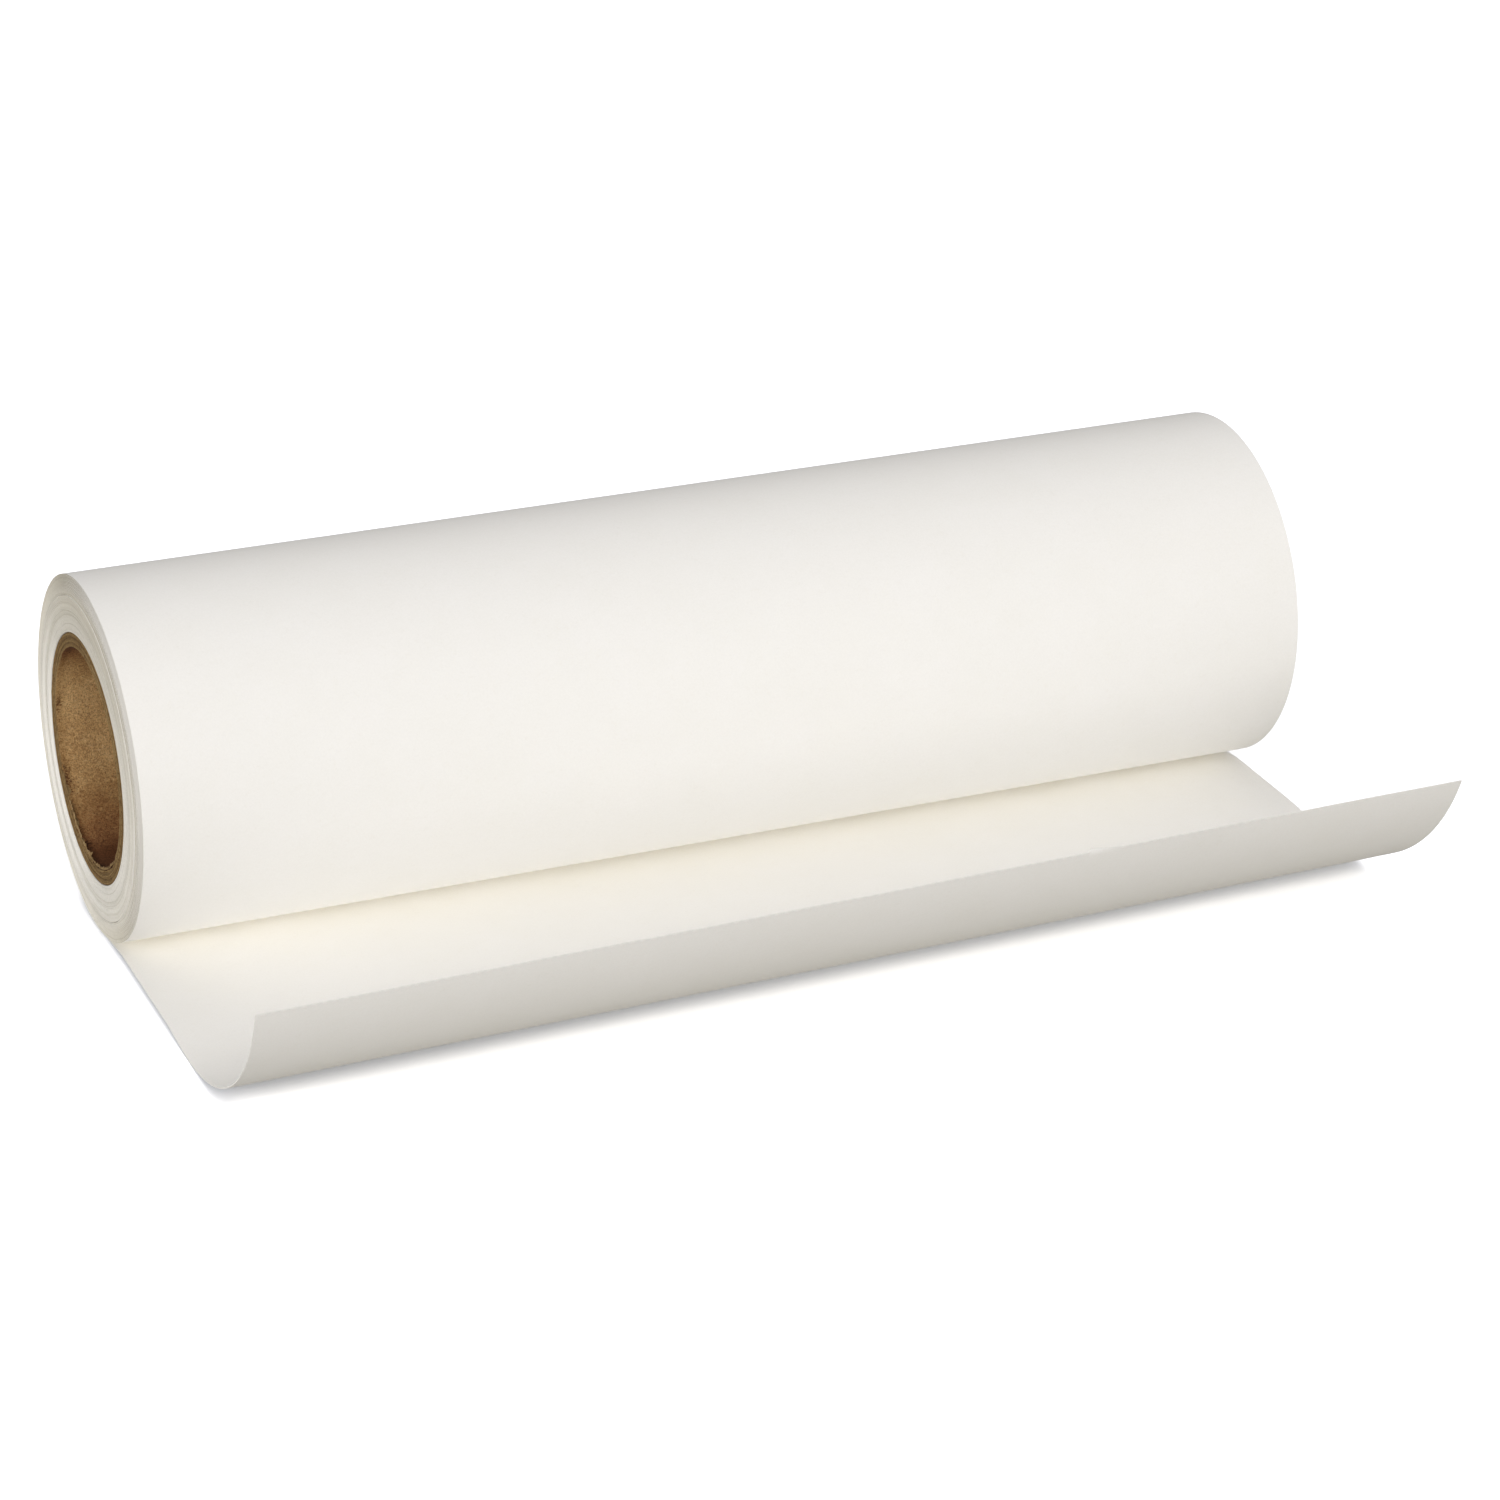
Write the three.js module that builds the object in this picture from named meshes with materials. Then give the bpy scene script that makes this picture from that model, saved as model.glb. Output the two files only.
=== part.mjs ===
// Table-top backdrop paper roll: one wide web of heavy matte paper wound on a
// spiral-wound paperboard core, standing on its lowest turn with the free end
// paid out over the floor and curling up at its leading edge.
//
// Millimetres, +Z up. The origin is on the floor, straight below the roll's axis
// and half way along it. +X runs along the roll, and the free end lies towards -Y.
import * as THREE from "three";

// ---------------------------------------------------------------- dimensions
const PAPER_WIDTH = 431.8; // width of the web, which is the length of the roll (17 in)
const PAPER_T = 0.45; // thickness of one layer of paper
const CORE_BORE = 76.2; // inside diameter of the core (3 in)
const CORE_PROUD = 0.8; // how far the core stands out of the wound paper at each end
const LINER_T = 0.3; // inner and outer liner of the core
const PLY_T = 0.52; // one body ply of the core
const PLY_COUNT = 8;
const GLUE = 0.05; // glue line between two plies
const TAPE_T = 0.1; // double-sided tape that starts the web on the core
const TAPE_LENGTH = 425;
const TAPE_STEPS = 3; // its width, in steps of the core's facets
const ROLL_R = 63.2; // outside radius of the wound paper
const RUN_GAP = 0.1; // clearance between the wound turns and the layer under them

const AXIS_Z = PAPER_T + RUN_GAP + ROLL_R; // height of the roll's axis
const CORE_LENGTH = PAPER_WIDTH + 2 * CORE_PROUD;

const FRONT_CUT = 14; // where the layer under the roll ends and the laid stretch begins
const REST_FLAT = 8; // the layer under the roll is pressed flat this far behind the axis line
const WRAP_END = 90; // degrees up the back at which the outermost layer has merged with the roll
const SPLIT = 0.3; // gap between two stretches of the one web
const LIFT_Y = 83.9; // the leading edge lifts about this line
const LIFT_GAP = 0.6; // gap along that line

// the free end, left and right edge: laid length from the axis line, mean bend
// radius of the curl, its swept angle, and how the bend tightens along it
const FLAT = [104.0, 87.4];
const CURL_R = [82.1, 96.0];
const CURL_DEG = [72.65, 68.58];
const TIGHTEN = 0.1646;

const CORE_SEGMENTS = 48;
const ROLL_SEGMENTS = 96;

// ----------------------------------------------------------------- materials
const paper = (name) =>
  new THREE.MeshStandardMaterial({ name, color: 0xf1eee7, roughness: 0.88, metalness: 0 });
const board = (name, color) =>
  new THREE.MeshStandardMaterial({ name, color, roughness: 0.93, metalness: 0 });

// ------------------------------------------------------------------- helpers
const group = new THREE.Group();
group.name = "backdrop_paper_roll";

// section drawn in the (y, z) plane and run along X
const ALONG_X = new THREE.Matrix4().set(0, 0, 1, 0, 1, 0, 0, 0, 0, 1, 0, 0, 0, 0, 0, 1);

function add(name, geometry, material) {
  const mesh = new THREE.Mesh(geometry, material);
  mesh.name = name;
  group.add(mesh);
  return mesh;
}

// a tube about the roll's axis
function tube(inner, outer, length, segments) {
  const h = length / 2;
  const profile = [
    [inner, -h],
    [outer, -h],
    [outer, h],
    [inner, h],
    [inner, -h],
  ].map(([r, a]) => new THREE.Vector2(r, a));
  const g = new THREE.LatheGeometry(profile, segments);
  g.rotateZ(-Math.PI / 2); // the lathe's axis (+Y) becomes +X
  g.translate(0, 0, AXIS_Z);
  return g;
}

// a closed outline in the (y, z) plane, extruded along X about the middle
function strip(outline, length) {
  const shape = new THREE.Shape(outline.map(([y, z]) => new THREE.Vector2(y, z)));
  const g = new THREE.ExtrudeGeometry(shape, { depth: length, bevelEnabled: false, steps: 1 });
  g.translate(0, 0, -length / 2);
  g.applyMatrix4(ALONG_X);
  return g;
}

// ---------------------------------------------------------------------- core
let r = CORE_BORE / 2;
add("core_inner_liner", tube(r, r + LINER_T, CORE_LENGTH, CORE_SEGMENTS), board("inner_liner", 0x8b6a42));
r += LINER_T + GLUE;
for (let i = 1; i <= PLY_COUNT; i++) {
  add(
    "core_ply_" + i,
    tube(r, r + PLY_T, CORE_LENGTH, CORE_SEGMENTS),
    board("ply_" + i, i % 2 ? 0x77603f : 0x6c5638),
  );
  r += PLY_T + GLUE;
}
add("core_outer_liner", tube(r, r + LINER_T, CORE_LENGTH, CORE_SEGMENTS), board("outer_liner", 0x74603f));
const CORE_R = r + LINER_T;

// the tape lies on the core, under the first turn, at the front
{
  const inner = CORE_R + GLUE;
  const step = (2 * Math.PI) / CORE_SEGMENTS;
  const at = (radius, k) => {
    const a = Math.PI + k * step;
    return [radius * Math.cos(a), AXIS_Z + radius * Math.sin(a)];
  };
  const outline = [];
  for (let k = 0; k <= TAPE_STEPS; k++) outline.push(at(inner + TAPE_T, k));
  for (let k = TAPE_STEPS; k >= 0; k--) outline.push(at(inner, k));
  add(
    "start_tape",
    strip(outline, TAPE_LENGTH),
    new THREE.MeshStandardMaterial({ name: "tape", color: 0xd9cfae, roughness: 0.55, metalness: 0 }),
  );
}

// ------------------------------------------------------------------ the web
const WOUND_INNER = CORE_R + GLUE + TAPE_T + 0.09;
add("paper_wound", tube(WOUND_INNER, ROLL_R, PAPER_WIDTH, ROLL_SEGMENTS), paper("paper_wound"));

// the layer under the roll: flat where the roll's weight presses it to the
// floor, then up the back as the outermost layer, thinning into the roll
{
  const smooth = (t) => (t <= 0 ? 0 : t >= 1 ? 1 : t * t * (3 - 2 * t));
  const start = (Math.atan2(REST_FLAT, AXIS_Z) * 180) / Math.PI;
  const outer = [[-FRONT_CUT, 0]];
  const inner = [[-FRONT_CUT, PAPER_T]];
  const steps = 18;
  for (let k = 0; k <= steps; k++) {
    const deg = start + ((WRAP_END - start) * k) / steps;
    const a = (deg * Math.PI) / 180;
    const bulge = (AXIS_Z / Math.cos((start * Math.PI) / 180) - AXIS_Z) * (1 - smooth((deg - start) / 22));
    const t = PAPER_T - (PAPER_T - 0.12) * smooth((deg - 30) / 60);
    const ri = ROLL_R + RUN_GAP + bulge;
    const ro = ri + t;
    outer.push([ro * Math.sin(a), Math.max(0, AXIS_Z - ro * Math.cos(a))]);
    inner.push([ri * Math.sin(a), AXIS_Z - ri * Math.cos(a)]);
  }
  add("paper_under_roll", strip([...outer, ...inner.reverse()], PAPER_WIDTH), paper("paper_under_roll"));
}

// the laid stretch in front of the roll
{
  const y0 = -(FRONT_CUT + SPLIT);
  const y1 = -(LIFT_Y - LIFT_GAP / 2);
  add(
    "paper_on_floor",
    strip(
      [
        [y1, 0],
        [y0, 0],
        [y0, PAPER_T],
        [y1, PAPER_T],
      ],
      PAPER_WIDTH,
    ),
    paper("paper_on_floor"),
  );
}

// the leading edge: a last laid stretch, then the curl that the paper keeps from
// the roll. Its bend differs a little from the left edge to the right edge.
{
  const NX = 12;
  const NU = 16;
  const mix = (pair, w) => pair[0] + (pair[1] - pair[0]) * w;
  const rows = [];
  for (let i = 0; i <= NX; i++) {
    const w = i / NX;
    const x = (w - 0.5) * PAPER_WIDTH;
    const flat = mix(FLAT, w);
    const radius = mix(CURL_R, w);
    const arc = radius * ((mix(CURL_DEG, w) * Math.PI) / 180);
    const mid = [[-(LIFT_Y + LIFT_GAP / 2), PAPER_T / 2, 0]];
    let y = -flat;
    let z = PAPER_T / 2;
    let a = 0;
    mid.push([y, z, a]);
    const fine = 20;
    for (let k = 1; k <= NU; k++) {
      for (let s = 0; s < fine; s++) {
        const u = (k - 1 + (s + 0.5) / fine) / NU;
        const ds = arc / NU / fine;
        const bend = (1 + TIGHTEN * (2 * u - 1)) / radius;
        const half = a + (bend * ds) / 2;
        y -= Math.cos(half) * ds;
        z += Math.sin(half) * ds;
        a += bend * ds;
      }
      mid.push([y, z, a]);
    }
    rows.push(
      mid.map(([my, mz, ma]) => {
        const ny = (Math.sin(ma) * PAPER_T) / 2;
        const nz = (Math.cos(ma) * PAPER_T) / 2;
        return { top: [x, my + ny, mz + nz], under: [x, my - ny, mz - nz] };
      }),
    );
  }
  const cols = rows[0].length;
  const pos = [];
  for (const row of rows) for (const p of row) pos.push(...p.top);
  for (const row of rows) for (const p of row) pos.push(...p.under);
  const T = (i, j) => i * cols + j;
  const U = (i, j) => rows.length * cols + i * cols + j;
  const idx = [];
  const quad = (a, b, c, d) => idx.push(a, b, c, a, c, d);
  const I = rows.length - 1;
  const J = cols - 1;
  for (let i = 0; i < I; i++)
    for (let j = 0; j < J; j++) {
      quad(T(i, j), T(i, j + 1), T(i + 1, j + 1), T(i + 1, j));
      quad(U(i, j), U(i + 1, j), U(i + 1, j + 1), U(i, j + 1));
    }
  for (let i = 0; i < I; i++) {
    quad(T(i, 0), T(i + 1, 0), U(i + 1, 0), U(i, 0));
    quad(T(i, J), U(i, J), U(i + 1, J), T(i + 1, J));
  }
  for (let j = 0; j < J; j++) {
    quad(T(0, j), U(0, j), U(0, j + 1), T(0, j + 1));
    quad(T(I, j), T(I, j + 1), U(I, j + 1), U(I, j));
  }
  const g = new THREE.BufferGeometry();
  g.setAttribute("position", new THREE.Float32BufferAttribute(pos, 3));
  g.setIndex(idx);
  g.computeVertexNormals();
  add("paper_leading_edge", g, paper("paper_leading_edge"));
}

export default group;
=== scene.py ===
import bpy
import math
import numpy as np
from mathutils import Matrix, Vector


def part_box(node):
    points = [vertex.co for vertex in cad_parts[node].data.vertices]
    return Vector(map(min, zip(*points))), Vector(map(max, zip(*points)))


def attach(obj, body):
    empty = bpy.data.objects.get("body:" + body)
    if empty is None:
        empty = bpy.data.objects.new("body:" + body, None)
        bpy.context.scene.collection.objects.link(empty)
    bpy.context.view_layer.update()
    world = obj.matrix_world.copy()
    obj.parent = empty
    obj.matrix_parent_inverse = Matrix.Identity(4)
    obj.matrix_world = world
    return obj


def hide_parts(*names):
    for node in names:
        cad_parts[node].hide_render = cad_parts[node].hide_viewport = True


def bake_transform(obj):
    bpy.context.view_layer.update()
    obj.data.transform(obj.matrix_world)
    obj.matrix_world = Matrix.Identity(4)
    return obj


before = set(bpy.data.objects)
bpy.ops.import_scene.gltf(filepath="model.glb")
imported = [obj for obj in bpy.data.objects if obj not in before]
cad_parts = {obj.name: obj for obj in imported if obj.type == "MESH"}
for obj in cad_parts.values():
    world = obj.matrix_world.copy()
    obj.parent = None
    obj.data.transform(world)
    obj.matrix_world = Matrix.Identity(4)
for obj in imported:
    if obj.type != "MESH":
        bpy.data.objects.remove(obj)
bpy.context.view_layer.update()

MM = 0.001
TAU = 2 * math.pi


def smooth(t):
    t = np.clip(t, 0.0, 1.0)
    return t * t * (3 - 2 * t)


# ------------------------------------------------------------ what the frame says
lo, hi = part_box("paper_wound")
WIDTH = hi[0] - lo[0]
AXIS_Z = (lo[2] + hi[2]) / 2
lo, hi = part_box("core_inner_liner")
CORE_HALF = (hi[0] - lo[0]) / 2
BORE_R = (hi[2] - lo[2]) / 2 - 0.3 * MM
lo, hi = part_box("core_outer_liner")
CORE_R = (hi[2] - lo[2]) / 2
PAPER_T = 0.45 * MM
ROLL_R = AXIS_Z - PAPER_T - 0.02 * MM  # outside of the wound turns, just clear of the layer below


# ------------------------------------------------------------------ mesh helpers
def add_mesh(name, verts, faces, material, sharp_deg=35.0, materials=None, face_material=None):
    me = bpy.data.meshes.new(name)
    me.from_pydata([tuple(map(float, v)) for v in verts], [], [tuple(map(int, f)) for f in faces])
    me.update()
    for m in materials or [material]:
        me.materials.append(m)
    if face_material is not None:
        me.polygons.foreach_set("material_index", np.asarray(face_material, dtype=np.int32))
    me.polygons.foreach_set("use_smooth", [True] * len(me.polygons))
    if hasattr(me, "set_sharp_from_angle"):
        me.set_sharp_from_angle(angle=math.radians(sharp_deg))
    me.update()
    ob = bpy.data.objects.new(name, me)
    bpy.context.scene.collection.objects.link(ob)
    return ob


def ring_noise(seed, low, high, fall=0.5):
    """A smooth periodic function of an angle, about -1 to 1, holding the harmonics low to high."""
    rng = np.random.default_rng(seed)
    ks = np.arange(low, high + 1)
    amp = (low / ks) ** fall
    ph = rng.uniform(0, TAU, len(ks))
    amp = amp / np.sqrt((amp**2).sum() / 2) / 1.8

    def f(a):
        a = np.asarray(a, float)
        return (amp * np.sin(a[..., None] * ks + ph)).sum(-1)

    return f


def angle_window(a, mid, half, soft):
    d = np.abs((np.asarray(a) - mid + math.pi) % TAU - math.pi)
    return smooth((half + soft - d) / soft)


def strip_mesh(rings, closed_section=True):
    """Verts and faces of a body swept through equal rings of points, capped at both ends."""
    rings = np.asarray(rings, float)
    n, k, _ = rings.shape
    verts = rings.reshape(-1, 3)
    i = np.arange(n - 1)[:, None]
    j = np.arange(k)[None, :]
    j2 = (j + 1) % k
    faces = np.stack([i * k + j, i * k + j2, (i + 1) * k + j2, (i + 1) * k + j], -1).reshape(-1, 4)
    faces = [tuple(f) for f in faces]
    faces.append(tuple(range(k))[::-1])
    faces.append(tuple((n - 1) * k + q for q in range(k)))
    return verts, faces


def outward(ob):
    """Turns the faces so that they point out of the closed body."""
    import bmesh

    bm = bmesh.new()
    bm.from_mesh(ob.data)
    bmesh.ops.recalc_face_normals(bm, faces=bm.faces)
    if bm.calc_volume(signed=True) < 0:
        bmesh.ops.reverse_faces(bm, faces=bm.faces)
    bm.to_mesh(ob.data)
    bm.free()
    ob.data.update()


# -------------------------------------------------------------------- materials
def new_material(name):
    m = bpy.data.materials.new(name)
    m.use_nodes = True
    nt = m.node_tree
    return m, nt, nt.nodes["Principled BSDF"]


def noise(nt, coord, scale, detail=3.0, rough=0.55, distort=0.0, squash=None):
    n = nt.nodes.new("ShaderNodeTexNoise")
    n.inputs["Scale"].default_value = scale
    n.inputs["Detail"].default_value = detail
    n.inputs["Roughness"].default_value = rough
    n.inputs["Distortion"].default_value = distort
    if squash is not None:
        mp = nt.nodes.new("ShaderNodeMapping")
        mp.inputs["Scale"].default_value = squash
        nt.links.new(coord, mp.inputs["Vector"])
        nt.links.new(mp.outputs["Vector"], n.inputs["Vector"])
    else:
        nt.links.new(coord, n.inputs["Vector"])
    return n.outputs["Fac"]


def ramp(nt, fac, stops):
    r = nt.nodes.new("ShaderNodeValToRGB")
    el = r.color_ramp.elements
    el[0].position, el[0].color = stops[0][0], (*stops[0][1], 1)
    el[1].position, el[1].color = stops[-1][0], (*stops[-1][1], 1)
    for p, c in stops[1:-1]:
        e = el.new(p)
        e.color = (*c, 1)
    nt.links.new(fac, r.inputs["Fac"])
    return r.outputs["Color"]


def multiply(nt, a, b, fac):
    m = nt.nodes.new("ShaderNodeMix")
    m.data_type = "RGBA"
    m.blend_type = "MULTIPLY"
    m.inputs["Factor"].default_value = fac
    nt.links.new(a, m.inputs["A"])
    nt.links.new(b, m.inputs["B"])
    return m.outputs["Result"]


def mix(nt, a, b, fac):
    m = nt.nodes.new("ShaderNodeMix")
    m.data_type = "RGBA"
    nt.links.new(fac, m.inputs["Factor"])
    nt.links.new(a, m.inputs["A"])
    nt.links.new(b, m.inputs["B"])
    return m.outputs["Result"]


def weighted(nt, parts):
    """Sum of factor times weight."""
    total = None
    for fac, w in parts:
        m = nt.nodes.new("ShaderNodeMath")
        m.operation = "MULTIPLY"
        m.inputs[1].default_value = w
        nt.links.new(fac, m.inputs[0])
        if total is None:
            total = m.outputs[0]
        else:
            s = nt.nodes.new("ShaderNodeMath")
            s.operation = "ADD"
            nt.links.new(total, s.inputs[0])
            nt.links.new(m.outputs[0], s.inputs[1])
            total = s.outputs[0]
    return total


def remap(nt, fac, a, b, lo=0.3, hi=0.7):
    m = nt.nodes.new("ShaderNodeMapRange")
    m.inputs["From Min"].default_value = lo
    m.inputs["From Max"].default_value = hi
    m.inputs["To Min"].default_value = a
    m.inputs["To Max"].default_value = b
    nt.links.new(fac, m.inputs["Value"])
    return m.outputs["Result"]


def bump(nt, bsdf, height, strength, distance):
    b = nt.nodes.new("ShaderNodeBump")
    b.inputs["Strength"].default_value = strength
    b.inputs["Distance"].default_value = distance
    nt.links.new(height, b.inputs["Height"])
    nt.links.new(b.outputs["Normal"], bsdf.inputs["Normal"])


def object_coord(nt):
    return nt.nodes.new("ShaderNodeTexCoord").outputs["Object"]


def across_axis(nt):
    """The position across the roll's axis, in roll radii: (0, y, z)."""
    m = nt.nodes.new("ShaderNodeMapping")
    m.vector_type = "POINT"
    m.inputs["Location"].default_value = (0, 0, -AXIS_Z / ROLL_R)
    m.inputs["Scale"].default_value = (0, 1 / ROLL_R, 1 / ROLL_R)
    nt.links.new(object_coord(nt), m.inputs["Vector"])
    return m.outputs["Vector"]


def wobbled(nt, fac, wobble, amount):
    """fac plus a little of a noise centred on zero."""
    s = nt.nodes.new("ShaderNodeMath")
    s.operation = "ADD"
    nt.links.new(fac, s.inputs[0])
    nt.links.new(remap(nt, wobble, -amount, amount, 0.25, 0.75), s.inputs[1])
    return s.outputs[0]


def paper_material(name, low, high, speck=0.03, bump_mm=0.03, rough=(0.84, 0.94)):
    """Uncoated white paper: cloudy formation, fine tooth, a few paler and darker fibres."""
    m, nt, bsdf = new_material(name)
    c = object_coord(nt)
    cloud = noise(nt, c, 55, 4, 0.6)
    tooth = noise(nt, c, 1500, 4, 0.62)
    fibre = noise(nt, c, 900, 2, 0.5, 1.5, (0.35, 1.6, 1.6))
    flecks = noise(nt, c, 420, 6, 0.72, 0.4)
    colour = ramp(nt, cloud, [(0.3, low), (0.7, high)])
    shade = 1 - speck
    colour = multiply(nt, colour, ramp(nt, tooth, [(0.32, (shade, shade, shade)), (0.62, (1, 1, 1))]), 1.0)
    colour = multiply(nt, colour, ramp(nt, flecks, [(0.36, (0.93, 0.92, 0.9)), (0.43, (1, 1, 1))]), 0.2)
    nt.links.new(colour, bsdf.inputs["Base Color"])
    nt.links.new(remap(nt, tooth, *rough), bsdf.inputs["Roughness"])
    bsdf.inputs["Specular IOR Level"].default_value = 0.28
    height = weighted(nt, [(tooth, 0.55), (fibre, 0.3), (flecks, 0.25)])
    bump(nt, bsdf, height, 0.55, bump_mm * MM)
    return m


def kraft_material(name, dark, mid, light, speck=0.35, bump_mm=0.12, bore=False):
    """Brown paperboard: mottled kraft pulp with short dark and pale fibres."""
    m, nt, bsdf = new_material(name)
    c = object_coord(nt)
    broad = noise(nt, c, 38, 3, 0.55)
    mottle = noise(nt, c, 900 if bore else 620, 5, 0.72, 0.8)
    fine = noise(nt, c, 1900 if bore else 1300, 4, 0.72)
    fibre = noise(nt, c, 1000 if bore else 800, 3, 0.6, 2.2, (1.9, 0.5, 0.5))
    pale = noise(nt, c, 560, 3, 0.62, 2.6, (0.5, 1.7, 1.7))
    colour = ramp(nt, weighted(nt, [(broad, 0.42), (mottle, 0.58)]), [(0.36, dark), (0.5, mid), (0.64, light)])
    s = 1 - speck
    colour = multiply(nt, colour, ramp(nt, fine, [(0.38, (s, s * 0.97, s * 0.92)), (0.56, (1, 1, 1))]), 1.0)
    colour = multiply(nt, colour, ramp(nt, fibre, [(0.38 if bore else 0.37, (0.48, 0.43, 0.38)), (0.44, (1, 1, 1))]), 0.8)
    if bore:
        # paler fibres over the liner
        over = nt.nodes.new("ShaderNodeMix")
        over.data_type = "RGBA"
        over.inputs["B"].default_value = (0.80, 0.60, 0.36, 1)
        nt.links.new(remap(nt, pale, 0.0, 0.36, 0.58, 0.72), over.inputs["Factor"])
        nt.links.new(colour, over.inputs["A"])
        colour = over.outputs["Result"]
        # painted shade: darker and redder with the angle round the bore, fitted to the photo's brightness, which no
        # light used here gave. It stands for shade in the bore, not the board's own colour, and it turns with the roll.
        turn = nt.nodes.new("ShaderNodeVectorMath")
        turn.operation = "DOT_PRODUCT"
        k = ROLL_R / BORE_R
        turn.inputs[1].default_value = (0, math.cos(math.radians(-5)) * k, math.sin(math.radians(-5)) * k)
        nt.links.new(across_axis(nt), turn.inputs[0])
        where = wobbled(nt, turn.outputs["Value"], broad, 0.16)
        where = wobbled(nt, where, mottle, 0.13)
        shade = ramp(
            nt,
            remap(nt, where, 0.0, 1.0, -0.2, 1.0),
            [
                (0.05, (0.22, 0.138, 0.115)),
                (0.42, (0.265, 0.165, 0.135)),
                (0.57, (0.40, 0.28, 0.235)),
                (0.67, (0.55, 0.43, 0.365)),
                (0.80, (0.70, 0.63, 0.56)),
                (0.93, (0.90, 0.88, 0.85)),
                (1.0, (1, 1, 1)),
            ],
        )
        colour = multiply(nt, colour, shade, 1.0)
        # small torn pits along both sawn ends: painted shade, dark spots standing for the shade in their hollows
        split = nt.nodes.new("ShaderNodeSeparateXYZ")
        nt.links.new(c, split.inputs["Vector"])
        far = nt.nodes.new("ShaderNodeMath")
        far.operation = "ABSOLUTE"
        nt.links.new(split.outputs["X"], far.inputs[0])
        near_end = remap(nt, far.outputs[0], 0.0, 0.21, CORE_HALF - 5.0 * MM, CORE_HALF - 1.5 * MM)
        pit_shade = nt.nodes.new("ShaderNodeMath")
        pit_shade.operation = "ADD"
        few = remap(nt, noise(nt, c, 75, 2, 0.5), -0.16, 0.05, 0.40, 0.62)
        nt.links.new(weighted(nt, [(noise(nt, c, 700, 6, 0.74, 1.4, (0.8, 1.2, 1.2)), 1.0), (few, 1.0)]), pit_shade.inputs[0])
        nt.links.new(near_end, pit_shade.inputs[1])
        colour = multiply(nt, colour, ramp(nt, pit_shade.outputs[0], [(0.70, (1, 1, 1)), (0.79, (0.30, 0.22, 0.17))]), 1.0)
        # handled and fluffed, so a little darker right at the ends
        colour = multiply(nt, colour, ramp(nt, near_end, [(0.05, (1, 1, 1)), (0.21, (0.74, 0.70, 0.64))]), 1.0)
    nt.links.new(colour, bsdf.inputs["Base Color"])
    nt.links.new(remap(nt, mottle, 0.82, 0.96), bsdf.inputs["Roughness"])
    bsdf.inputs["Specular IOR Level"].default_value = 0.25
    bump(nt, bsdf, weighted(nt, [(mottle, 0.5), (fine, 0.35), (fibre, 0.4)]), 0.8, bump_mm * MM)
    return m


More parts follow.
